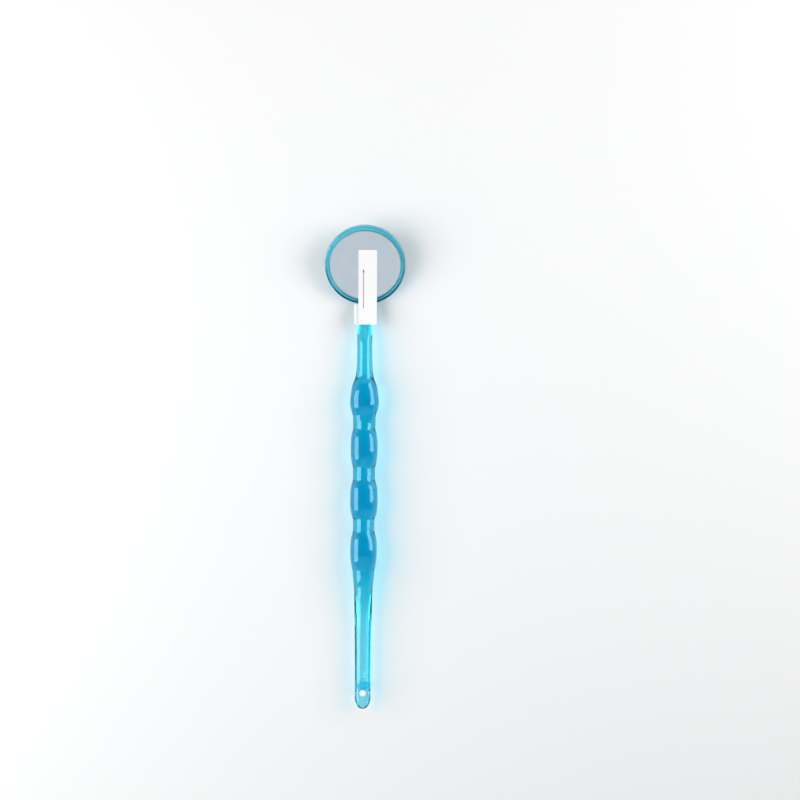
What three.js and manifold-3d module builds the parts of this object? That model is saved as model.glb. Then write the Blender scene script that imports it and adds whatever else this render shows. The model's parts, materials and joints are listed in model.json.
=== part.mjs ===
// A disposable mouth mirror in clear blue plastic, lying on its back with the mirror up.
// Millimetres. The handle runs along Y with the head towards +Y, and +Z is up.
// Names ending in _AT are distances along Y from the tip of the tail.
import * as THREE from "three";
import { LoftGeometry } from "three/addons/geometries/LoftGeometry.js";
import { mergeVertices } from "three/addons/utils/BufferGeometryUtils.js";
import Module from "manifold-3d";

// Grip: three barrels and a pear on one pitch, with waists between them. The bulges are
// slightly square in section and all as thick as each other, so that they lie flat.
const GRIP_HALF_THICKNESS = 4.8;
const SQUARENESS = 2.5;
const BARREL_RADII = [4.8, 4.98, 4.88];
const FIRST_BARREL_AT = 56.9;
const PITCH = 18.5;
const BARREL_HALF = 3.7;
const CROWN = 0.3;
const SHOULDER = 3.2;
const SHOULDER_DROP = 0.25;
const WAIST_RADII = [3.9, 3.86, 3.97, 3.93];

// The pear, whose profile is given from its widest point: (distance, radius).
const PEAR_SETBACK = 2.6;
const PEAR_AT = FIRST_BARREL_AT + 3 * PITCH - PEAR_SETBACK;
const BULGES_AT = [...BARREL_RADII.map((_, i) => FIRST_BARREL_AT + i * PITCH), PEAR_AT];
const PEAR_RADIUS = 5.175;
const PEAR_FOOT = new THREE.Vector2(-4.2, 4.13);
const PEAR_FACE = new THREE.Vector2(-1.3, 5.025);
const PEAR_CREST = new THREE.Vector2(2.4, 5.075);
const PEAR_EDGE = new THREE.Vector2(5.4, 4.68);
const PEAR_BROW = new THREE.Vector2(7.2, 4.38);
const PEAR_THROAT = new THREE.Vector2(8.6, 3.65);
const STEM_FLARE = new THREE.Vector2(10.6, 2.85);
const STEM_START = new THREE.Vector2(15, 2.82);
const AXIS_HEIGHT = GRIP_HALF_THICKNESS;

// Tail: flat, and thinner still round the hanging hole, with a short rib behind.
const TAIL_RADIUS = 2.8;
const TAIL_CAP = 4;
const TAIL_TAPER_AT = 24;
const TAIL_TIP_ANGLE = THREE.MathUtils.degToRad(171);
const TAIL_FLATNESS = 0.52;
const FLAT_TO = 29;
const ROUND_FROM = 47;
const COLLAR_AT = 44;
const COLLAR_LENGTH = 4;
const COLLAR_RADIUS = 3.9;
const COLLAR_FOOT_RADIUS = 3.35;
const END_THICKNESS = 2.1;
const STEP_AT = 9.1;
const RIB_FROM = 6.9;
const RIB_ROOT = 0.4;
const RIB_HALF_WIDTH = 1.55;
const RIB_TIP_HALF_WIDTH = 1.1;
const RIB_FOOT = 0.6;
const HOLE_AT = 5.6;
const HOLE_RADIUS = 1.2;
const DIMPLE_AT = 13;
const DIMPLE = new THREE.Vector3(0.75, 2, 0.35);

// Stem and neck: the neck steps down and flattens to meet the lower side of the cup.
const STEM_RADIUS = 2.7;
const NECK_FROM = 130;
const NECK_TO = 146;
const NECK_END = 149.5;
const NECK_HEIGHT = 1.62;
const NECK_HALF_THICKNESS = 1.3;

// Head: a cup tilted back towards the handle. Depths are measured down from the rim.
const TILT = THREE.MathUtils.degToRad(17);
const HEAD_AT = 159.56;
const CUP_RADIUS = 14.5;
const CUP_DEPTH = 3.4;
const BACK_ROUND = 1.1;
const RIM_ROUND = 0.4;
const POCKET_RADIUS = 12.95;
const POCKET_DEPTH = 2.6;
const HEAD_HEIGHT =
  (CUP_DEPTH - BACK_ROUND) * Math.cos(TILT) + (CUP_RADIUS - BACK_ROUND) * Math.sin(TILT) + BACK_ROUND;

// Layers in the pocket, from its floor up; inset is the gap to the pocket's wall.
const LAYER_GAP = 0.02;
const LAYERS = [
  { name: "adhesive_pad", thickness: 0.3, inset: 1.2, colour: 0xe6e8e4, roughness: 0.7 },
  { name: "mirror_glass", thickness: 1.8, inset: 0.3, colour: 0xb7d4cf, roughness: 0.05 },
  { name: "mirror_coating", thickness: 0.06, inset: 0.3, colour: 0xd9dde0, roughness: 0.03 },
  { name: "protective_film", thickness: 0.1, inset: 0.5, colour: 0xdfe8ee, roughness: 0.2 },
];

// Pull tab: stuck to the film as far as the rim, then free, with its end folded under.
const TAB_WIDTH = 6.66;
const TAB_OFFSET = 0.94;
const TAB_THICKNESS = 0.15;
const TAB_TOP = 5.75;
const TAB_BEND = -12.2;
const FLAP_START = 0.12;
const FLAP_LENGTH = 9.9;
const FLAP_LIFT = THREE.MathUtils.degToRad(16);
const FOLD_LENGTH = 7.6;
const FOLD_GAP = 0.3;
const FOLD_OFFSET = 1.5;
const FOLD_STEPS = 8;

const HANDLE_SIDES = 36;
const DISC_SIDES = 60;
const CURVE_POINTS = 3;
const TAIL_STEP = 5;
const NECK_STEP = 1.6;

const PLASTIC = { color: 0x14a6d2, roughness: 0.12, metalness: 0 };
const PAPER = { color: 0xf4f6f7, roughness: 0.75, metalness: 0 };

const wasm = await Module();
wasm.setup();

function toSolid(geometry) {
  const bare = new THREE.BufferGeometry().copy(geometry);
  bare.deleteAttribute("normal");
  bare.deleteAttribute("uv");
  const merged = mergeVertices(bare, 1e-4);
  const triVerts = new Uint32Array(merged.index.array);
  const vertProperties = merged.attributes.position.array;
  return new wasm.Manifold(new wasm.Mesh({ numProp: 3, vertProperties, triVerts }));
}

function toGeometry(solid) {
  const { vertProperties, triVerts } = solid.getMesh();
  const geometry = new THREE.BufferGeometry();
  geometry.setAttribute("position", new THREE.BufferAttribute(vertProperties, 3));
  geometry.setIndex(new THREE.BufferAttribute(triVerts, 1));
  geometry.computeVertexNormals();
  return geometry;
}

function piece(name, geometry, material) {
  const mesh = new THREE.Mesh(geometry, new THREE.MeshStandardMaterial(material));
  mesh.name = name;
  return mesh;
}

// A value that eases from one level to another between two distances.
function ease(distance, start, end, from, to) {
  return THREE.MathUtils.lerp(from, to, THREE.MathUtils.smoothstep(distance, start, end));
}

// Half the handle's width along its length, as a path of (distance, half width).
function handleOutline() {
  const outline = new THREE.Path();
  const cap = [TAIL_CAP, 0, TAIL_CAP, TAIL_RADIUS];
  outline.absellipse(...cap, TAIL_TIP_ANGLE, Math.PI / 2, true, 0);
  outline.quadraticCurveTo(TAIL_TAPER_AT, TAIL_RADIUS, COLLAR_AT, COLLAR_FOOT_RADIUS);
  outline.lineTo(COLLAR_AT + COLLAR_LENGTH, COLLAR_RADIUS);
  for (const [i, radius] of BARREL_RADII.entries()) {
    const at = FIRST_BARREL_AT + i * PITCH;
    const edge = radius - CROWN / 2;
    const foot = BARREL_HALF + SHOULDER;
    const bend = (BARREL_HALF + foot) / 2;
    outline.lineTo(at - foot, WAIST_RADII[i]);
    outline.quadraticCurveTo(at - bend, edge - SHOULDER_DROP, at - BARREL_HALF, edge);
    outline.quadraticCurveTo(at, radius + CROWN / 2, at + BARREL_HALF, edge);
    outline.quadraticCurveTo(at + bend, edge - SHOULDER_DROP, at + foot, WAIST_RADII[i + 1]);
  }
  const pear = (corner) => [PEAR_AT + corner.x, corner.y];
  outline.lineTo(...pear(PEAR_FOOT));
  outline.lineTo(...pear(PEAR_FACE));
  outline.quadraticCurveTo(PEAR_AT, PEAR_RADIUS + CROWN / 2, ...pear(PEAR_CREST));
  outline.lineTo(...pear(PEAR_EDGE));
  outline.quadraticCurveTo(...pear(PEAR_BROW), ...pear(PEAR_THROAT));
  outline.quadraticCurveTo(...pear(STEM_FLARE), ...pear(STEM_START));
  outline.quadraticCurveTo(PEAR_AT + PITCH, STEM_RADIUS, NECK_FROM, STEM_RADIUS);
  outline.lineTo(NECK_TO, STEM_RADIUS);
  outline.lineTo(NECK_END, STEM_RADIUS);
  return outline;
}

// Half the handle's thickness as a share of half its width, by the bulges on either side.
function thicknessShare(distance) {
  if (distance < ROUND_FROM) return ease(distance, FLAT_TO, ROUND_FROM, TAIL_FLATNESS, 1);
  const shares = [...BARREL_RADII, PEAR_RADIUS].map((radius) => GRIP_HALF_THICKNESS / radius);
  const next = BULGES_AT.findIndex((at) => at >= distance);
  if (next === 0) return shares[0];
  if (next < 0) return ease(distance, PEAR_AT, PEAR_AT + STEM_START.x, shares.at(-1), 1);
  const place = THREE.MathUtils.inverseLerp(BULGES_AT[next - 1], BULGES_AT[next], distance);
  return THREE.MathUtils.lerp(shares[next - 1], shares[next], place);
}

function halfThickness(distance, halfWidth) {
  if (distance < NECK_FROM) return halfWidth * thicknessShare(distance);
  return ease(distance, NECK_FROM, NECK_TO, STEM_RADIUS, NECK_HALF_THICKNESS);
}

// How square a section is, as the power of a superellipse: 2 is round.
function squareness(distance) {
  const nearest = Math.min(...BULGES_AT.map((at) => Math.abs(distance - at)));
  return ease(nearest, BARREL_HALF, BARREL_HALF + SHOULDER, SQUARENESS, 2);
}

// A ring of points: round or slightly square, or where the tail is flat, a lens of two arcs.
function handleSection(distance, halfWidth) {
  const halfHeight = halfThickness(distance, halfWidth);
  const centre = ease(distance, NECK_FROM, NECK_TO, AXIS_HEIGHT, NECK_HEIGHT);
  const power = 2 / squareness(distance);
  const share = halfHeight / halfWidth;
  const arcRadius = (halfWidth * (1 + share * share)) / (2 * share);
  return Array.from({ length: HANDLE_SIDES }, (_, k) => {
    const angle = ((k + 0.5) / HANDLE_SIDES) * 2 * Math.PI;
    const [sine, cosine] = [Math.sin(angle), Math.cos(angle)];
    const x = halfWidth * Math.sign(sine) * Math.abs(sine) ** power;
    const lens = Math.sqrt(arcRadius ** 2 - x ** 2) - arcRadius + halfHeight;
    const height = distance < ROUND_FROM ? lens : halfHeight * Math.abs(cosine) ** power;
    return new THREE.Vector3(x, distance, centre + Math.sign(cosine) * height);
  });
}

// The outline's points, with more of them where the tail flattens and the neck bends.
function handleStations() {
  const stations = [];
  for (const point of handleOutline().getPoints(CURVE_POINTS)) {
    const last = stations.at(-1) ?? point;
    const step = point.x > NECK_FROM ? NECK_STEP : TAIL_STEP;
    const pieces = Math.max(1, Math.ceil((point.x - last.x) / step));
    for (let k = 1; k <= pieces; k++) stations.push(last.clone().lerp(point, k / pieces));
  }
  return stations;
}

function handleBody() {
  const sections = handleStations().map(({ x, y }) => handleSection(x, y));
  return toSolid(new LoftGeometry(sections, { capStart: true, capEnd: true }));
}

// The material cut away above the flat end, or below it.
function tailStep(side) {
  const margin = 1;
  const cut = new THREE.BoxGeometry(3 * TAIL_RADIUS, STEP_AT + margin, TAIL_RADIUS);
  const height = AXIS_HEIGHT + (side * (END_THICKNESS + TAIL_RADIUS)) / 2;
  return toSolid(cut.translate(0, (STEP_AT - margin) / 2, height));
}

// A short rib behind the flat end, from the step nearly to the hole.
function endRib() {
  const section = (distance, halfWidth) => {
    const corners = [[-1, RIB_FOOT], [-1, AXIS_HEIGHT], [1, AXIS_HEIGHT], [1, RIB_FOOT]];
    return corners.map(([side, z]) => new THREE.Vector3(side * halfWidth, distance, z));
  };
  const tip = section(RIB_FROM, RIB_TIP_HALF_WIDTH);
  const root = section(STEP_AT + RIB_ROOT, RIB_HALF_WIDTH);
  return toSolid(new LoftGeometry([tip, root], { capStart: true, capEnd: true }));
}

function hangingHole() {
  const hole = new THREE.CylinderGeometry(HOLE_RADIUS, HOLE_RADIUS, 2 * TAIL_RADIUS, 32);
  hole.rotateX(Math.PI / 2).translate(0, HOLE_AT, AXIS_HEIGHT);
  return toSolid(hole);
}

function dimple() {
  const bowl = new THREE.SphereGeometry(1, 24, 12);
  bowl.scale(DIMPLE.x, DIMPLE.y, DIMPLE.z);
  bowl.translate(0, DIMPLE_AT, AXIS_HEIGHT + halfThickness(DIMPLE_AT, TAIL_RADIUS));
  return toSolid(bowl);
}

// Turns a shape made about Y, with the rim's plane at y = 0, to its place at the head.
function placeAtHead(geometry) {
  return geometry.rotateX(Math.PI / 2 + TILT).translate(0, HEAD_AT, HEAD_HEIGHT);
}

function cupBlank() {
  const profile = new THREE.Path();
  profile.moveTo(0, -CUP_DEPTH);
  profile.lineTo(CUP_RADIUS - BACK_ROUND, -CUP_DEPTH);
  profile.absarc(CUP_RADIUS - BACK_ROUND, BACK_ROUND - CUP_DEPTH, BACK_ROUND, -Math.PI / 2, 0, false);
  profile.absarc(CUP_RADIUS - RIM_ROUND, -RIM_ROUND, RIM_ROUND, 0, Math.PI / 2, false);
  profile.lineTo(0, 0);
  return placeAtHead(new THREE.LatheGeometry(profile.getPoints(CURVE_POINTS), DISC_SIDES));
}

// The room for the mirror, with the rounded inner edge of the rim.
function pocket() {
  const above = 3;
  const profile = new THREE.Path();
  profile.moveTo(0, -POCKET_DEPTH);
  profile.lineTo(POCKET_RADIUS, -POCKET_DEPTH);
  profile.absarc(POCKET_RADIUS + RIM_ROUND, -RIM_ROUND, RIM_ROUND, Math.PI, Math.PI / 2, true);
  profile.lineTo(POCKET_RADIUS + RIM_ROUND, above);
  profile.lineTo(0, above);
  return placeAtHead(new THREE.LatheGeometry(profile.getPoints(CURVE_POINTS), DISC_SIDES));
}

function handle() {
  const solid = handleBody()
    .subtract(tailStep(1))
    .subtract(tailStep(-1))
    .subtract(hangingHole())
    .subtract(dimple())
    .add(endRib())
    .add(toSolid(cupBlank()))
    .subtract(toSolid(pocket()));
  return piece("handle", toGeometry(solid), PLASTIC);
}

// The mirror's layers as discs, one on another, and the height of the film's top.
function mirrorLayers(head) {
  let floor = -POCKET_DEPTH;
  for (const { name, thickness, inset, colour, roughness } of LAYERS) {
    const radius = POCKET_RADIUS - inset;
    const disc = new THREE.CylinderGeometry(radius, radius, thickness, DISC_SIDES);
    const metalness = name === "mirror_coating" ? 1 : 0;
    const layer = piece(name, disc, { color: colour, roughness, metalness });
    layer.position.y = floor + LAYER_GAP + thickness / 2;
    floor += LAYER_GAP + thickness;
    head.add(layer);
  }
  return floor;
}

function pullTab(height) {
  const length = TAB_TOP - TAB_BEND;
  const strip = piece("pull_tab", new THREE.BoxGeometry(TAB_WIDTH, TAB_THICKNESS, length), PAPER);
  strip.position.set(TAB_OFFSET, height + TAB_THICKNESS / 2, -(TAB_TOP + TAB_BEND) / 2);
  return strip;
}

// The free end, lying along -Y from its bend: a top layer, the fold, and a layer underneath
// that the skewed fold leaves out to one side.
function pullTabFlap() {
  const radius = (FOLD_GAP + TAB_THICKNESS) / 2;
  const foldAt = FLAP_LENGTH - radius - TAB_THICKNESS / 2;
  const section = (distance, angle, offset) => {
    const out = new THREE.Vector3(0, -Math.cos(angle), Math.sin(angle));
    const corner = (side, reach) =>
      new THREE.Vector3(offset + (side * TAB_WIDTH) / 2, -distance, 0).addScaledVector(out, reach);
    const [under, over] = [radius - TAB_THICKNESS / 2, radius + TAB_THICKNESS / 2];
    return [corner(1, under), corner(1, over), corner(-1, over), corner(-1, under)];
  };
  const sections = [section(FLAP_START, Math.PI / 2, 0)];
  for (let k = 0; k <= FOLD_STEPS; k++) {
    const share = k / FOLD_STEPS;
    sections.push(section(foldAt, (0.5 - share) * Math.PI, -FOLD_OFFSET * share));
  }
  sections.push(section(FLAP_LENGTH - FOLD_LENGTH, -Math.PI / 2, -FOLD_OFFSET));
  const strip = new LoftGeometry(sections, { capStart: true, capEnd: true });
  strip.translate(0, 0, -radius - TAB_THICKNESS / 2);
  return piece("pull_tab_flap", strip, PAPER);
}

const model = new THREE.Group();
const head = new THREE.Group();
head.position.set(0, HEAD_AT, HEAD_HEIGHT);
head.rotation.x = Math.PI / 2 + TILT;

const tabFloor = mirrorLayers(head) + LAYER_GAP;
head.add(pullTab(tabFloor));

const flapHinge = new THREE.Group();
const bend = new THREE.Vector3(TAB_OFFSET, tabFloor + TAB_THICKNESS, -TAB_BEND);
head.updateMatrix();
flapHinge.position.copy(bend.applyMatrix4(head.matrix));
flapHinge.rotation.x = -FLAP_LIFT;
flapHinge.add(pullTabFlap());

model.add(handle(), head, flapHinge);

// The origin is under the middle of the whole, on the surface it lies on.
const box = new THREE.Box3().setFromObject(model, true);
model.position.set(0, -(box.min.y + box.max.y) / 2, -box.min.z);

const mouthMirror = new THREE.Group();
mouthMirror.add(model);

export default mouthMirror;
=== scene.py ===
"""A disposable mouth mirror in clear blue plastic, with a pull tab on its protective film."""

import json
import math

import bpy
import numpy as np
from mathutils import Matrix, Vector


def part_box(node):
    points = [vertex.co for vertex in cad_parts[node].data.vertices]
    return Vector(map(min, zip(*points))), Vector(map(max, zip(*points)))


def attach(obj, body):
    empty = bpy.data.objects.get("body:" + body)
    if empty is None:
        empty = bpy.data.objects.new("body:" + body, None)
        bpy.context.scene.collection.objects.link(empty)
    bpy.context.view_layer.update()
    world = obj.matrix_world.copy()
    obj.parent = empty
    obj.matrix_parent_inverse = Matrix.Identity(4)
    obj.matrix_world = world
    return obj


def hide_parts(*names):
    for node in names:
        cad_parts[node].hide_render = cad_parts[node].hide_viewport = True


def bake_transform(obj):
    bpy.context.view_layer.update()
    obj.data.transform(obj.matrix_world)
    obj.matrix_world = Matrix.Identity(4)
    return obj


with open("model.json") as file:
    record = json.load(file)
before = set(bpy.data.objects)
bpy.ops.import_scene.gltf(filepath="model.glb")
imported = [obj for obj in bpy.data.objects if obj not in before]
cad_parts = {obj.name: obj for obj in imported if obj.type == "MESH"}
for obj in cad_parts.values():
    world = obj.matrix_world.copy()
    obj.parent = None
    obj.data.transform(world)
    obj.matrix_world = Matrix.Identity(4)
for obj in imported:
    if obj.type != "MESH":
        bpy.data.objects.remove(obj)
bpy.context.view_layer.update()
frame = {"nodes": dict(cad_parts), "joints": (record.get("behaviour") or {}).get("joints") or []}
scene = bpy.context.scene
joints = {joint["name"]: joint for joint in frame["joints"]}
MM = 0.001

# ---- Driving sizes of the handle, in millimetres, the same as the CAD's. Names ending in _AT
# are distances along Y from the tip of the tail, and the pear's pairs are (distance from its
# middle, half width).
BARREL_RADII = (4.8, 4.98, 4.88)
WAIST_RADII = (3.9, 3.86, 3.97, 3.93)
FIRST_BARREL_AT, PITCH = 56.9, 18.5
BARREL_HALF, SHOULDER, SHOULDER_DROP, CROWN = 3.7, 3.2, 0.25, 0.3
GRIP_HALF_THICKNESS, SQUARENESS = 4.8, 2.5
PEAR_AT, PEAR_RADIUS = FIRST_BARREL_AT + 3 * PITCH - 2.6, 5.175
BULGES_AT = [FIRST_BARREL_AT + i * PITCH for i in range(len(BARREL_RADII))] + [PEAR_AT]
PEAR_FOOT, PEAR_FACE, PEAR_CREST = (-4.2, 4.13), (-1.3, 5.025), (2.4, 5.075)
PEAR_EDGE, PEAR_BROW, PEAR_THROAT = (5.4, 4.68), (7.2, 4.38), (8.6, 3.65)
STEM_FLARE, STEM_START, STEM_RADIUS = (10.6, 2.85), (15.0, 2.82), 2.7
TAIL_RADIUS, TAIL_CAP, TAIL_TIP_ANGLE, TAIL_TAPER_AT = 2.8, 4.0, math.radians(171), 24.0
TAIL_FLATNESS, FLAT_TO, ROUND_FROM = 0.52, 29.0, 47.0
COLLAR_AT, COLLAR_LENGTH, COLLAR_FOOT_RADIUS, COLLAR_RADIUS = 44.0, 4.0, 3.35, 3.9
END_HALF_THICKNESS, STEP_AT, STEP_HALF_RUN = 1.05, 9.1, 0.05
HOLE_AT, HOLE_RADIUS, HOLE_FLARE = 5.6, 1.2, 0.25
RIB_FROM, RIB_ROOT, RIB_FOOT = 6.9, 0.4, 0.6
RIB_HALF_WIDTH, RIB_TIP_HALF_WIDTH = 1.55, 1.1
DIMPLE_AT, DIMPLE_HALF_WIDTH, DIMPLE_HALF_LENGTH, DIMPLE_DEPTH = 13.0, 0.75, 2.0, 0.35
NECK_FROM, NECK_TO, NECK_END = 130.0, 146.0, 149.5
NECK_HEIGHT, NECK_HALF_THICKNESS = 1.62, 1.3

# ---- The cup, the layers in it and the pull tab, in millimetres.
CUP_RADIUS, CUP_DEPTH, RIM_ROUND = 14.5, 3.4, 0.4
BACK_ROUND, BACK_EDGE = 1.1, 0.6
POCKET_RADIUS, POCKET_DEPTH, POCKET_ROUND, LAYER_GAP = 12.95, 2.6, 0.25, 0.02
TAB_WIDTH, TAB_THICKNESS, TAB_CORNER, BEND_LENGTH = 6.66, 0.15, 0.04, 1.2
PAPER_CURL, CURL_FROM = 0.06, 0.5
FLAP_LENGTH, FLAP_LIFT = 9.9, math.radians(16)
FOLD_RADIUS, FOLD_LENGTH, FOLD_OFFSET, FOLD_DRIFT = 0.225, 7.6, 1.35, 0.25
ARROW_X, ARROW_TIP, ARROW_LENGTH, ARROW_HALF_WIDTH = -1.53, 7.1, 14.6, 0.14
ARROW_HEAD_LENGTH, ARROW_HEAD_SLOPE = 1.2, 0.38

# ---- How finely the shapes are made, and how softly their edges meet.
SIDES, DISC_SIDES, STATION_STEP, CURVE_STEPS = 120, 180, 0.25, 24
HOLE_SIDES, CAP_RADIUS, DISC_CAP_RADIUS, FACE_SOFTNESS = 64, 0.5, 0.4, 0.12
CUTTER_REACH = 3
FILLET, EDGE_SOFTNESS = 0.1, 0.05

# ---- Colours, the densities of the dye and the haze per metre, and the share of the lamps'
# light that each face of the plastic lets through.
DYE, DYE_DENSITY, INK = (0.25, 0.9475, 0.971, 1), 800.0, (0.33, 0.035, 0.04)
HAZE, HAZE_DENSITY = (0.8, 0.97, 1, 1), 6.0
GLOSS_TINT = (0.6, 0.97, 1, 1)
SKIN_TINTS, LAMP_SHARE = ((0.72, 0.74, 0.87), (0.76, 0.78, 0.91)), 0.93
PAPER_TINTS = ((0.67, 0.685, 0.69), (0.72, 0.72, 0.72))
FLOOR_REACH, FLOOR_SHADE = 1500, 0.69

# ---- The studio, in millimetres and degrees: the two softboxes stand KEY_TILT away from
# overhead, and the other two lights fill in the mirror's reflection and the head.
KEY_DISTANCE, KEY_TILT, KEY_RADIANCE = 600, 53, 5.5
MIRROR_FILL_DISTANCE, MIRROR_FILL_TILT, MIRROR_FILL_COLOUR = 500, 34, (0.82, 0.92, 1.0)
SKY_STEPS = ((0.0, 0.95), (0.25, 0.8), (0.5, 0.3), (0.8, 0.08), (1.0, 0.02))
CAMERA_PLACE, CAMERA_ROLL, CAMERA_LENS = (12.8, 24.2, 1205), 0.35, 150

# ---- Places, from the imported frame.
handle_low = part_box("handle")[0] / MM
normal = Vector(joints["film_peel"]["axis"]).normalized()
across = Vector((1, 0, 0))
uphill = normal.cross(across)


def centre_of(node):
    """The middle of a node's box, in millimetres."""
    low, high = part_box(node)
    return (low + high) / (2 * MM)


def span(node, direction=normal):
    """A node's least and greatest reach along a direction, by default the mirror's normal."""
    reach = [v.co.dot(direction) / MM for v in frame["nodes"][node].data.vertices]
    return min(reach), max(reach)


glass_centre = centre_of("mirror_glass")
head_axis = glass_centre - normal * glass_centre.dot(normal)
pocket_floor = span("adhesive_pad")[0] - LAYER_GAP
rim_height = pocket_floor + POCKET_DEPTH
hinge = Vector(joints["tab_lift"]["pos_m"]) / MM
tab_slope = math.atan2(-normal.y, normal.z)


# ---------------------------------------------------------------------------- mesh helpers
def make_object(name, points, faces, smooth_angle=35):
    """A mesh object from points in millimetres, smooth but for edges sharper than the angle."""
    mesh = bpy.data.meshes.new(name)
    mesh.from_pydata((np.asarray(points) * MM).tolist(), [], faces)
    mesh.validate()
    made = bpy.data.objects.new(name, mesh)
    scene.collection.objects.link(made)
    shade(made, smooth_angle)
    return made


def shade(made, smooth_angle):
    """Smooth shading, but for edges sharper than an angle in degrees."""
    made.data.polygons.foreach_set("use_smooth", [True] * len(made.data.polygons))
    made.data.set_sharp_from_angle(angle=math.radians(smooth_angle))


def loft_faces(rows, sides):
    """Quads between closed rings of points, with a cap at each end."""
    faces = []
    for row in range(rows - 1):
        here, there = row * sides, (row + 1) * sides
        for k in range(sides):
            after = (k + 1) % sides
            faces.append((here + k, here + after, there + after, there + k))
    faces.append(tuple(reversed(range(sides))))
    faces.append(tuple(range((rows - 1) * sides, rows * sides)))
    return faces


def head_points(radii, angles, heights):
    """Points round the head's axis, at heights along the mirror's normal."""
    radii, angles, heights = np.broadcast_arrays(radii, angles, heights)
    return (
        np.array(head_axis)
        + (radii * np.cos(angles))[..., None] * np.array(across)
        + (radii * np.sin(angles))[..., None] * np.array(uphill)
        + heights[..., None] * np.array(normal)
    )


def lathe(name, profile, smooth_angle=35):
    """A solid round the head's axis from its profile of (radius, height), with flat caps."""
    angles = np.linspace(0, 2 * math.pi, DISC_SIDES, endpoint=False)
    points = np.concatenate([head_points(r, angles, h) for r, h in profile])
    return make_object(name, points, loft_faces(len(profile), DISC_SIDES), smooth_angle)


def arc(centre, radius, start, end, steps=8):
    """Points of an arc in a profile, from one angle in degrees to another."""
    angles = np.radians(np.linspace(start, end, steps + 1))
    return [(centre[0] + radius * math.cos(a), centre[1] + radius * math.sin(a)) for a in angles]


def boolean(target, other, operation):
    """Joins or cuts one closed object with another, which is used up."""
    modifier = target.modifiers.new(operation, "BOOLEAN")
    modifier.operation = operation
    modifier.solver = "EXACT"
    modifier.object = other
    graph = bpy.context.evaluated_depsgraph_get()
    mesh = bpy.data.meshes.new_from_object(target.evaluated_get(graph))
    target.modifiers.clear()
    target.data = mesh
    bpy.data.objects.remove(other)


# ---------------------------------------------------------------------------- the handle
def smoothstep(value, start, end):
    """Goes smoothly from 0 at the start to 1 at the end."""
    share = np.clip((value - start) / (end - start), 0, 1)
    return share * share * (3 - 2 * share)


def ease(value, start, end, low, high):
    """Goes smoothly from one level at the start to another at the end."""
    return low + (high - low) * smoothstep(value, start, end)


def bend(path, control, end):
    """Adds a curve to a path, pulled towards its control point."""
    start = np.array(path[-1])
    for share in np.linspace(0, 1, CURVE_STEPS + 1)[1:]:
        rest = 1 - share
        point = rest * rest * start + 2 * rest * share * np.array(control)
        path.append(tuple(point + share * share * np.array(end)))


def handle_outline():
    """The handle's half width along its length, as points of (distance, half width)."""
    path = []
    for angle in np.linspace(TAIL_TIP_ANGLE, math.pi / 2, CURVE_STEPS):
        path.append((TAIL_CAP * (1 + math.cos(angle)), TAIL_RADIUS * math.sin(angle)))
    bend(path, (TAIL_TAPER_AT, TAIL_RADIUS), (COLLAR_AT, COLLAR_FOOT_RADIUS))
    path.append((COLLAR_AT + COLLAR_LENGTH, COLLAR_RADIUS))
    for i, radius in enumerate(BARREL_RADII):
        at = FIRST_BARREL_AT + i * PITCH
        edge = radius - CROWN / 2
        foot = BARREL_HALF + SHOULDER
        knee = (BARREL_HALF + foot) / 2
        path.append((at - foot, WAIST_RADII[i]))
        bend(path, (at - knee, edge - SHOULDER_DROP), (at - BARREL_HALF, edge))
        bend(path, (at, radius + CROWN / 2), (at + BARREL_HALF, edge))
        bend(path, (at + knee, edge - SHOULDER_DROP), (at + foot, WAIST_RADII[i + 1]))
    foot, face, crest, edge, brow, throat, flare, start = (
        (PEAR_AT + x, y)
        for x, y in (PEAR_FOOT, PEAR_FACE, PEAR_CREST, PEAR_EDGE, PEAR_BROW, PEAR_THROAT,
                     STEM_FLARE, STEM_START)
    )
    path += [foot, face]
    bend(path, (PEAR_AT, PEAR_RADIUS + CROWN / 2), crest)
    path.append(edge)
    bend(path, brow, throat)
    bend(path, flare, start)
    bend(path, (PEAR_AT + PITCH, STEM_RADIUS), (NECK_FROM, STEM_RADIUS))
    path.append((NECK_END, STEM_RADIUS))
    return np.array(path)


def half_widths(stations):
    """The outline's half width at each station, with its corners filleted past the tail's cap
    by a bell-shaped average of the widths nearby."""
    path = handle_outline()
    sharp = np.interp(stations, path[:, 0], path[:, 1])
    offsets = np.linspace(-3, 3, 25) * FILLET
    weights = np.exp(-((offsets / FILLET) ** 2) / 2)
    near = np.interp(stations[:, None] + offsets, path[:, 0], path[:, 1])
    soft = near @ weights / weights.sum()
    return np.where(stations > TAIL_CAP, soft, sharp)


def thickness_share(distance):
    """Half the thickness as a share of half the width: the bulges are as thick as each other."""
    shares = GRIP_HALF_THICKNESS / np.array((*BARREL_RADII, PEAR_RADIUS))
    tail = ease(distance, FLAT_TO, ROUND_FROM, TAIL_FLATNESS, 1)
    grip = np.interp(distance, BULGES_AT, shares)
    stem = ease(distance, PEAR_AT, PEAR_AT + STEM_START[0], shares[-1], 1)
    return np.select((distance < ROUND_FROM, distance < PEAR_AT), (tail, grip), stem)


def half_thickness(distance, half_width):
    """Half the thickness in Z, which becomes the neck's own past the stem."""
    body = np.minimum(half_width * thickness_share(distance), GRIP_HALF_THICKNESS)
    neck = ease(distance, NECK_FROM, NECK_TO, STEM_RADIUS, NECK_HALF_THICKNESS)
    return np.where(distance < NECK_FROM, body, neck)


def squareness(distance):
    """How square a section is, as the power of a superellipse: 2 is round."""
    nearest = np.min([np.abs(distance - at) for at in BULGES_AT], axis=0)
    return ease(nearest, BARREL_HALF, BARREL_HALF + SHOULDER, SQUARENESS, 2)


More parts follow.
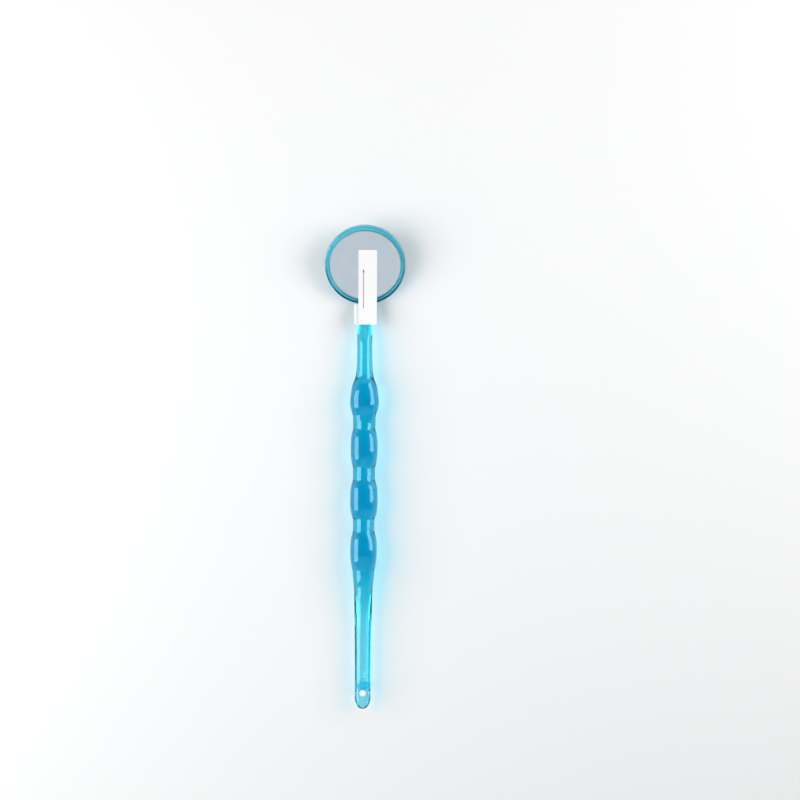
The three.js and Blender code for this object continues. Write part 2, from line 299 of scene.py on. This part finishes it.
def section(distance, width, angle):
    """Points round a section: slightly square bulges, and a lens of two arcs at the tail."""
    height = half_thickness(distance, width)
    sine, cosine = np.sin(angle), np.cos(angle)
    power = 2 / squareness(distance)
    x = width * np.sign(sine) * np.abs(sine) ** power
    oval = height * np.abs(cosine) ** power
    share = height / width
    radius = width * (1 + share * share) / (2 * share)
    lens = np.sqrt(np.maximum(radius**2 - x**2, 0)) - radius + height
    tail = lens + (oval - lens) * EDGE_SOFTNESS
    return x, np.where(distance < ROUND_FROM, tail, oval), np.sign(cosine)


def handle_stations():
    """Distances of the handle's sections, closer at the tip, the step and the dimple."""
    tip = TAIL_CAP * (1 + np.cos(np.linspace(TAIL_TIP_ANGLE, math.pi / 2, CURVE_STEPS)))
    body = np.arange(TAIL_CAP + STATION_STEP, NECK_END, STATION_STEP)
    step = STEP_AT + np.linspace(-0.3, 0.3, 13)
    bowl = DIMPLE_AT + np.linspace(-DIMPLE_HALF_LENGTH, DIMPLE_HALF_LENGTH, 41)
    return np.unique(np.round(np.concatenate((tip, body, step, bowl, [NECK_END])), 4))


def soft_least(a, b, softness):
    """The smaller of two values, rounded off where they are alike."""
    mix = np.clip(0.5 + 0.5 * (b - a) / softness, 0, 1)
    return b + (a - b) * mix - softness * mix * (1 - mix)


def handle_points(stations):
    """Rings of points, one for each station, with the flat end, its step and the dimple."""
    distance = stations[:, None]
    angle = np.linspace(0, 2 * math.pi, SIDES, endpoint=False)[None, :]
    x, height, side = section(distance, half_widths(stations)[:, None], angle)
    past_step = smoothstep(distance, STEP_AT - STEP_HALF_RUN, STEP_AT + STEP_HALF_RUN)
    limit = END_HALF_THICKNESS + 2 * GRIP_HALF_THICKNESS * past_step
    z = side * soft_least(height, limit, FACE_SOFTNESS)
    along = (distance - DIMPLE_AT) / DIMPLE_HALF_LENGTH
    bowl = np.clip(1 - (x / DIMPLE_HALF_WIDTH) ** 2 - along**2, 0, 1)
    z -= np.where(side > 0, DIMPLE_DEPTH * np.sqrt(bowl), 0)
    centre = ease(distance, NECK_FROM, NECK_TO, GRIP_HALF_THICKNESS, NECK_HEIGHT)
    centre += np.maximum(distance - NECK_TO, 0) * -normal.y / normal.z
    y = distance - stations[0] + 0 * x
    rings = np.stack((x, y, z + centre), axis=-1)
    return rings.reshape(-1, 3) + np.array((0, handle_low.y, handle_low.z))


def cup_blank():
    """The cup's outside as a full disc, rounded at its back and at its rim."""
    low = rim_height - CUP_DEPTH
    profile = [(CAP_RADIUS, low), (CUP_RADIUS - BACK_ROUND - BACK_EDGE, low)]
    profile += arc((CUP_RADIUS - BACK_ROUND, low + BACK_ROUND), BACK_ROUND, -90, 0)
    profile += arc((CUP_RADIUS - RIM_ROUND, rim_height - RIM_ROUND), RIM_ROUND, 0, 90)
    profile.append((CAP_RADIUS, rim_height))
    return lathe("cup_blank", profile)


def pocket_cutter():
    """The pocket for the mirror, which flares at the rim and reaches well above it."""
    mouth, top = POCKET_RADIUS + RIM_ROUND, rim_height + CUTTER_REACH
    corner = (POCKET_RADIUS - POCKET_ROUND, pocket_floor + POCKET_ROUND)
    profile = [(CAP_RADIUS, pocket_floor), (corner[0], pocket_floor)]
    profile += arc(corner, POCKET_ROUND, -90, 0, 4)
    profile += arc((mouth, rim_height - RIM_ROUND), RIM_ROUND, 180, 90)
    profile += [(mouth, top), (CAP_RADIUS, top)]
    return lathe("pocket_cutter", profile)


def hole_cutter():
    """The hanging hole, flared a little where it meets each face."""
    # Rings from below to above, by height from the middle and share of the flare.
    heights = np.array((-CUTTER_REACH, -1.15, -0.95, -0.7, 0.7, 0.95, 1.15, CUTTER_REACH))
    radii = HOLE_RADIUS + HOLE_FLARE * np.array((1, 1, 0.4, 0, 0, 0.4, 1, 1))
    angles = np.linspace(0, 2 * math.pi, HOLE_SIDES, endpoint=False)
    middle = (0, handle_low.y + HOLE_AT, handle_low.z + GRIP_HALF_THICKNESS)
    points = [
        (middle[0] + r * math.cos(a), middle[1] + r * math.sin(a), middle[2] + h)
        for r, h in zip(radii, heights)
        for a in angles
    ]
    return make_object("hole_cutter", points, loft_faces(len(heights), HOLE_SIDES))


def end_rib():
    """A short rib behind the flat end, from the step nearly to the hole."""
    tip, root = (RIB_FROM, RIB_TIP_HALF_WIDTH), (STEP_AT + RIB_ROOT, RIB_HALF_WIDTH)
    corners = ((-1, RIB_FOOT), (-1, GRIP_HALF_THICKNESS), (1, GRIP_HALF_THICKNESS), (1, RIB_FOOT))
    points = [
        (side * half_width, handle_low.y + distance, handle_low.z + z)
        for distance, half_width in (tip, root)
        for side, z in corners
    ]
    return make_object("end_rib", points, loft_faces(2, 4))


def build_handle(material):
    """The whole moulding: the lofted handle, the cup on its end, the hole and the rib."""
    stations = handle_stations()
    points = handle_points(stations)
    handle = make_object("handle_moulding", points, loft_faces(len(stations), SIDES))
    boolean(handle, cup_blank(), "UNION")
    boolean(handle, pocket_cutter(), "DIFFERENCE")
    boolean(handle, hole_cutter(), "DIFFERENCE")
    boolean(handle, end_rib(), "UNION")
    shade(handle, 30)
    finish_piece(handle, "tool", "clear_blue_plastic", material, "handle")


# ---------------------------------------------------------------------------- the mirror
def finish_piece(made, body, slot, material, *nodes):
    """Gives a piece its material and body, and the CAD nodes that it takes the place of."""
    made.data.materials.clear()
    made.data.materials.append(material)
    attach(made, body)
    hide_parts(*nodes)


def disc(name, node, edge, material, slot, body):
    """A round layer in its CAD node's place, with its edges eased by a small chamfer."""
    low, high = span(node)
    radius = (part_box(node)[1].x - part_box(node)[0].x) / (2 * MM)
    profile = [(DISC_CAP_RADIUS, low), (radius - edge, low), (radius, low + edge)]
    profile += [(radius, high - edge), (radius - edge, high), (DISC_CAP_RADIUS, high)]
    finish_piece(lathe(name, profile, smooth_angle=25), body, slot, material, node)


# ---------------------------------------------------------------------------- the pull tab
def tab_path():
    """The strip's middle line from its stuck end to the end folded under, as rows of
    (along, height, angle, offset, length): a side view from the hinge, with the angle that
    the strip points in, how far it has moved sideways, and the length of strip so far."""
    stuck = (span("pull_tab", uphill)[1] - hinge.dot(uphill)) - BEND_LENGTH / 2
    run = FLAP_LENGTH - FOLD_RADIUS - BEND_LENGTH / 2
    # Each stretch: its length, how far it turns, how far it moves sideways, and its steps.
    stretches = [
        (stuck, 0, 0, 36),
        (BEND_LENGTH, tab_slope + FLAP_LIFT, 0, 14),
        (run, 0, 0, 20),
        (math.pi * FOLD_RADIUS, -math.pi, -FOLD_OFFSET, 14),
        (FOLD_LENGTH - FOLD_RADIUS, 0, -FOLD_DRIFT, 16),
    ]
    angle, offset, length = -tab_slope, 0.0, 0.0
    along, height = -stuck * math.cos(tab_slope), stuck * math.sin(tab_slope)
    along -= BEND_LENGTH / 2 * math.cos(tab_slope)
    height += BEND_LENGTH / 2 * math.sin(tab_slope)
    rows = [(along, height, angle, offset, length)]
    for stretch, turn, shift, steps in stretches:
        for _ in range(steps):
            middle = angle + turn / steps / 2
            along += stretch / steps * math.cos(middle)
            height += stretch / steps * math.sin(middle)
            angle += turn / steps
            offset += shift / steps
            length += stretch / steps
            rows.append((along, height, angle, offset, length))
    return rows


def build_pull_tab():
    """One strip of paper: its rings run along the printed face and back along the other."""
    half, inner = TAB_WIDTH / 2, TAB_WIDTH / 2 - TAB_CORNER
    reach = np.concatenate(([-half], np.linspace(-inner, inner, 15), [half]))
    lift = np.full(len(reach), TAB_THICKNESS / 2)
    lift[[0, -1]] -= TAB_CORNER
    xs = np.concatenate((reach, reach[::-1]))
    lifts = np.concatenate((lift, -lift[::-1]))
    points, marks = [], []
    for along, height, angle, offset, length in tab_path():
        out_y, out_z = math.sin(angle), math.cos(angle)
        for x, rise in zip(xs, lifts):
            rise -= TAB_THICKNESS / 2 - PAPER_CURL * (x / half) ** 2 * (length > CURL_FROM)
            y = -along + rise * out_y
            z = height + rise * out_z
            points.append((hinge.x + x + offset, hinge.y + y, hinge.z + z))
            marks.append((x, length))
    rows = len(points) // len(xs)
    faces = [tuple(reversed(face)) for face in loft_faces(rows, len(xs))]
    tab = make_object("pull_tab_strip", points, faces, 40)
    uv = tab.data.uv_layers.new(name="strip")
    sides = len(xs)
    for polygon in tab.data.polygons:
        printed = all(v % sides < sides // 2 for v in polygon.vertices)
        for loop in polygon.loop_indices:
            x, length = marks[tab.data.loops[loop].vertex_index]
            uv.data[loop].uv = (x, length if printed else -length)
    return tab


# ---------------------------------------------------------------------------- materials
def add(material, kind, inputs=None, **settings):
    """Adds a node; an input is a plain value, or the socket that feeds it."""
    node = material.node_tree.nodes.new(kind)
    for key, value in settings.items():
        setattr(node, key, value)
    for key, value in (inputs or {}).items():
        if isinstance(value, bpy.types.NodeSocket):
            material.node_tree.links.new(value, node.inputs[key])
        else:
            node.inputs[key].default_value = value
    return node


def feed(material, source, node, key):
    """Links a socket to one of a node's inputs."""
    material.node_tree.links.new(source, node.inputs[key])


def new_look(name, **values):
    """A material with its shader's own settings, and the object's coordinates in metres."""
    material = bpy.data.materials.new(name)
    material.use_nodes = True
    shader = material.node_tree.nodes["Principled BSDF"]
    for key, value in values.items():
        shader.inputs[key.replace("_", " ")].default_value = value
    place = add(material, "ShaderNodeTexCoord").outputs["Object"]
    return material, shader, place


def noise(material, place, scale, detail=3.0, stretch=(1, 1, 1)):
    """Soft noise, drawn out along an axis where the stretch is small."""
    mapped = add(material, "ShaderNodeMapping", {"Vector": place, "Scale": stretch})
    settings = {"Vector": mapped.outputs[0], "Scale": scale, "Detail": detail}
    return add(material, "ShaderNodeTexNoise", settings).outputs["Fac"]


def ranged(material, value, low, high, from_low=0.3, from_high=0.7):
    """A value brought from one range to another."""
    inputs = {"Value": value, "From Min": from_low, "From Max": from_high}
    inputs.update({"To Min": low, "To Max": high})
    return add(material, "ShaderNodeMapRange", inputs).outputs[0]


def calculate(material, operation, *values):
    """One step of arithmetic on sockets or plain values."""
    node = add(material, "ShaderNodeMath", dict(enumerate(values)), operation=operation)
    return node.outputs[0]


def mix(material, amount, first, second):
    """A colour between two, by an amount from 0 to 1; each is a socket or a plain colour."""
    node = add(material, "ShaderNodeMix", {"Factor": amount}, data_type="RGBA")
    for socket, value in zip([i for i in node.inputs if i.type == "RGBA"], (first, second)):
        if isinstance(value, bpy.types.NodeSocket):
            material.node_tree.links.new(value, socket)
        else:
            socket.default_value = value
    return next(out for out in node.outputs if out.type == "RGBA")


def tint(material, amount, first, second):
    """A mix of two plain colours, each given as red, green and blue."""
    return mix(material, amount, (*first, 1), (*second, 1))


def bump(material, shader, height, distance, strength=1.0):
    """Fine relief on a shader, from heights of 0 to 1 over a distance in metres."""
    inputs = {"Height": height, "Distance": distance, "Strength": strength}
    feed(material, add(material, "ShaderNodeBump", inputs).outputs[0], shader, "Normal")


def let_lamps_through(material, shader, colour):
    """Light from the lamps passes straight through, tinted, so clear parts cast pale shadows."""
    clear = add(material, "ShaderNodeBsdfTransparent", {"Color": (*colour, 1)})
    ray = add(material, "ShaderNodeLightPath")
    inputs = {0: ray.outputs["Is Shadow Ray"], 1: shader.outputs[0], 2: clear.outputs[0]}
    mixed = add(material, "ShaderNodeMixShader", inputs)
    feed(material, mixed.outputs[0], material.node_tree.nodes["Material Output"], "Surface")


def clear_blue_plastic():
    """Clear polystyrene, dyed cyan and slightly hazy, with faint flow lines and a fine ripple.
    Its tinted gloss keeps the pale floor's reflection from washing out the blue."""
    material, shader, place = new_look("clear_blue_plastic", Transmission_Weight=1.0, IOR=1.58)
    shader.inputs["Specular Tint"].default_value = GLOSS_TINT
    smudges = noise(material, place, 160, 4)
    feed(material, tint(material, smudges, *SKIN_TINTS), shader, "Base Color")
    feed(material, ranged(material, smudges, 0.015, 0.06), shader, "Roughness")
    flow = noise(material, place, 700, 2, stretch=(1, 0.04, 1))
    ripple = noise(material, place, 350, 2)
    height = calculate(material, "ADD", flow, calculate(material, "MULTIPLY", ripple, 0.6))
    bump(material, shader, height, 0.00003, 0.5)
    dye = add(material, "ShaderNodeVolumeAbsorption", {"Color": DYE, "Density": DYE_DENSITY})
    haze = add(material, "ShaderNodeVolumeScatter", {"Color": HAZE, "Density": HAZE_DENSITY})
    inside = add(material, "ShaderNodeAddShader", {0: dye.outputs[0], 1: haze.outputs[0]})
    feed(material, inside.outputs[0], material.node_tree.nodes["Material Output"], "Volume")
    let_lamps_through(material, shader, [LAMP_SHARE * math.sqrt(part) for part in SKIN_TINTS[0]])
    return material


def mirror_glass():
    """Float glass with a hint of green, and a few wiping marks in its polish."""
    material, shader, place = new_look("mirror_glass", Transmission_Weight=1.0, IOR=1.52)
    body = tint(material, noise(material, place, 90, 2), (0.95, 0.985, 0.975), (1, 1, 1))
    feed(material, body, shader, "Base Color")
    wipes = noise(material, place, 500, 3, stretch=(1, 0.15, 1))
    feed(material, ranged(material, wipes, 0.0, 0.02), shader, "Roughness")
    return material


def mirror_coat():
    """The bright metal on the face of the glass, a little cloudy here and there."""
    material, shader, place = new_look("mirror_coat", Metallic=1.0)
    cloud = noise(material, place, 120, 3)
    bright = tint(material, cloud, (0.86, 0.89, 0.91), (0.93, 0.95, 0.96))
    feed(material, bright, shader, "Base Color")
    feed(material, ranged(material, cloud, 0.015, 0.04), shader, "Roughness")
    return material


def adhesive():
    """A foam pad: off-white, with open cells on its faces and edge."""
    material, shader, place = new_look("adhesive")
    inputs = {"Vector": place, "Scale": 2600.0}
    cells = add(material, "ShaderNodeTexVoronoi", inputs).outputs["Distance"]
    white = tint(material, cells, (0.7, 0.71, 0.68), (0.86, 0.87, 0.85))
    feed(material, white, shader, "Base Color")
    feed(material, ranged(material, cells, 0.9, 0.6, 0, 1), shader, "Roughness")
    bump(material, shader, cells, 0.00008, 0.8)
    return material


def clear_film():
    """Thin polyester film, with a little haze and the drag lines of the roll."""
    material, shader, place = new_look("clear_film", Transmission_Weight=1.0, IOR=1.5)
    haze = noise(material, place, 220, 4)
    whiteness = tint(material, haze, (0.93, 0.95, 0.97), (1, 1, 1))
    feed(material, whiteness, shader, "Base Color")
    feed(material, ranged(material, haze, 0.06, 0.14), shader, "Roughness")
    drag = noise(material, place, 900, 2, stretch=(1, 0.03, 1))
    bump(material, shader, drag, 0.00002, 0.4)
    return material


def paper():
    """Smooth white paper with its fibres, and a thin red arrow printed along one face."""
    material, shader, _ = new_look("paper", Specular_IOR_Level=0.35)
    uv = add(material, "ShaderNodeUVMap", uv_map="strip").outputs[0]
    fibres = noise(material, uv, 2.6, 6, stretch=(1, 0.5, 1))
    flecks = noise(material, uv, 9, 3)
    stock = tint(material, ranged(material, fibres, 0, 1), *PAPER_TINTS)
    split = add(material, "ShaderNodeSeparateXYZ", {"Vector": uv})
    x, length = split.outputs["X"], split.outputs["Y"]
    aside = calculate(material, "ABSOLUTE", calculate(material, "SUBTRACT", x, ARROW_X))
    past = calculate(material, "SUBTRACT", length, ARROW_TIP)
    head = calculate(material, "MULTIPLY", past, ARROW_HEAD_SLOPE)
    in_head = calculate(material, "LESS_THAN", past, ARROW_HEAD_LENGTH)
    head = calculate(material, "MULTIPLY", head, in_head)
    edge = calculate(material, "MAXIMUM", head, ARROW_HALF_WIDTH)
    ink = calculate(material, "LESS_THAN", aside, edge)
    ink = calculate(material, "MULTIPLY", ink, calculate(material, "GREATER_THAN", past, 0))
    before = calculate(material, "LESS_THAN", past, ARROW_LENGTH)
    ink = calculate(material, "MULTIPLY", ink, before)
    ink = calculate(material, "MULTIPLY", ink, ranged(material, flecks, 0.75, 1))
    feed(material, mix(material, ink, stock, (*INK, 1)), shader, "Base Color")
    feed(material, ranged(material, fibres, 0.55, 0.75), shader, "Roughness")
    bump(material, shader, fibres, 0.00002, 0.5)
    return material


# ---------------------------------------------------------------------------- studio
def build_floor():
    """A plain pale floor under the lying mirror."""
    corners = [(FLOOR_REACH * x, FLOOR_REACH * y, 0) for x, y in ((-1, -1), (1, -1), (1, 1), (-1, 1))]
    floor = make_object("floor", corners, [(0, 1, 2, 3)])
    material, shader, _ = new_look("floor", Roughness=0.9, Specular_IOR_Level=0.1)
    shader.inputs["Base Color"].default_value = (FLOOR_SHADE, FLOOR_SHADE, FLOOR_SHADE, 1)
    floor.data.materials.append(material)


def softbox(name, place, aim, size, radiance, colour=(1, 1, 1)):
    """A rectangular light that faces its aim, given by its size and how bright its face is."""
    light = bpy.data.lights.new(name, "AREA")
    light.shape = "RECTANGLE"
    light.size, light.size_y = (length * MM for length in size)
    light.energy = radiance * math.pi * light.size * light.size_y
    light.color = colour
    made = bpy.data.objects.new(name, light)
    scene.collection.objects.link(made)
    made.location = Vector(place) * MM
    made.rotation_mode = "QUATERNION"
    facing = (Vector(aim) - Vector(place)).normalized()
    made.rotation_quaternion = facing.to_track_quat("-Z", "Y")
    made.visible_camera = False


def build_lights():
    """A long softbox on the left, a shorter one up on the right, a faint one where the mirror
    looks, and one beyond the head."""
    tilt = math.radians(KEY_TILT)
    side, height = KEY_DISTANCE * math.sin(tilt), KEY_DISTANCE * math.cos(tilt)
    softbox("left_softbox", (-side, 0, height), (0, 0, 0), (520, 500), KEY_RADIANCE)
    softbox("right_softbox", (side, 190, height), (0, 190, 0), (460, 400), KEY_RADIANCE)
    tilt = math.radians(MIRROR_FILL_TILT)
    ahead, height = MIRROR_FILL_DISTANCE * math.sin(tilt), MIRROR_FILL_DISTANCE * math.cos(tilt)
    place = (0, glass_centre.y - ahead, height)
    softbox("mirror_fill", place, glass_centre, (420, 260), 0.65, MIRROR_FILL_COLOUR)
    softbox("head_fill", (0, 520, 430), (0, 0, 0), (500, 300), 0.8)


def build_world():
    """A plain sky, dark overhead and pale towards the horizon."""
    world = bpy.data.worlds.new("studio")
    scene.world = world
    world.use_nodes = True
    nodes, links = world.node_tree.nodes, world.node_tree.links
    direction = nodes.new("ShaderNodeTexCoord").outputs["Generated"]
    split = nodes.new("ShaderNodeSeparateXYZ")
    links.new(direction, split.inputs[0])
    ramp = nodes.new("ShaderNodeValToRGB")
    links.new(split.outputs["Z"], ramp.inputs[0])
    ramp.color_ramp.elements.remove(ramp.color_ramp.elements[0])
    for i, (place, level) in enumerate(SKY_STEPS):
        element = ramp.color_ramp.elements[0] if i == 0 else ramp.color_ramp.elements.new(place)
        element.position = place
        element.color = (level, level, level * 1.02, 1)
    links.new(ramp.outputs[0], nodes["Background"].inputs["Color"])


def build_camera():
    """Square on from above, with the head at the top of the picture."""
    camera = bpy.data.cameras.new("camera")
    camera.lens, camera.sensor_width = CAMERA_LENS, 36
    camera.clip_start, camera.clip_end = 0.05, 20
    made = bpy.data.objects.new("camera", camera)
    scene.collection.objects.link(made)
    made.location = Vector(CAMERA_PLACE) * MM
    made.rotation_euler = (0, 0, math.radians(CAMERA_ROLL))
    scene.camera = made


# ---------------------------------------------------------------------------- the whole
build_floor()
build_lights()
build_world()
build_camera()
scene.view_settings.view_transform = "Standard"

build_handle(clear_blue_plastic())
disc("adhesive_disc", "adhesive_pad", 0.05, adhesive(), "adhesive", "tool")
disc("glass_disc", "mirror_glass", 0.12, mirror_glass(), "glass", "tool")
disc("mirror_face", "mirror_coating", 0.02, mirror_coat(), "mirror_coat", "tool")
disc("film_disc", "protective_film", 0.02, clear_film(), "clear_film", "film")

strip = build_pull_tab()
strip.data.materials.append(paper())
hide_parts("pull_tab", "pull_tab_flap")
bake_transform(strip)
